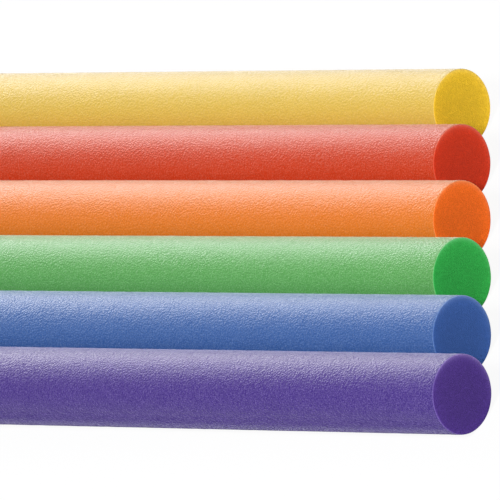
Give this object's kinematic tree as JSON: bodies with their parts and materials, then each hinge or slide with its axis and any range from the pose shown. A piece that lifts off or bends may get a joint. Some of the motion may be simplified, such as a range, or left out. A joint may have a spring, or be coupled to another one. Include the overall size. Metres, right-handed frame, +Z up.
{
  "type": "pool noodle set",
  "caption": "Solid-core foam pool noodles in plain bright colours, cut square at both ends and laid side by side in a slanted row.",
  "frame": {"origin": "on the floor, under the middle of the whole row", "axes": "+X along the noodles, towards the end where the front noodle stands out furthest; +Y from the front noodle (purple) to the back one (yellow); +Z up"},
  "size_m": [1.645, 0.3914, 0.065],
  "materials": {
    "purple_foam": "soft matt closed-cell foam with a finely pebbled skin",
    "blue_foam": "soft matt closed-cell foam with a finely pebbled skin",
    "green_foam": "soft matt closed-cell foam with a finely pebbled skin",
    "orange_foam": "soft matt closed-cell foam with a finely pebbled skin",
    "red_foam": "soft matt closed-cell foam with a finely pebbled skin",
    "yellow_foam": "soft matt closed-cell foam with a finely pebbled skin"
  },
  "bodies": {
    "green": {"green_noodle": "green_foam"},
    "purple": {"purple_noodle": "purple_foam"},
    "blue": {"blue_noodle": "blue_foam"},
    "orange": {"orange_noodle": "orange_foam"},
    "red": {"red_noodle": "red_foam"},
    "yellow": {"yellow_noodle": "yellow_foam"}
  },
  "joints": [
    {"name": "purple_lift", "type": "slide", "parent": "green", "child": "purple", "axis": [0, 0, 1], "range_m": [0, 0.1]},
    {"name": "blue_lift", "type": "slide", "parent": "green", "child": "blue", "axis": [0, 0, 1], "range_m": [0, 0.1]},
    {"name": "orange_lift", "type": "slide", "parent": "green", "child": "orange", "axis": [0, 0, 1], "range_m": [0, 0.1]},
    {"name": "red_lift", "type": "slide", "parent": "green", "child": "red", "axis": [0, 0, 1], "range_m": [0, 0.1]},
    {"name": "yellow_lift", "type": "slide", "parent": "green", "child": "yellow", "axis": [0, 0, 1], "range_m": [0, 0.1]}
  ]
}
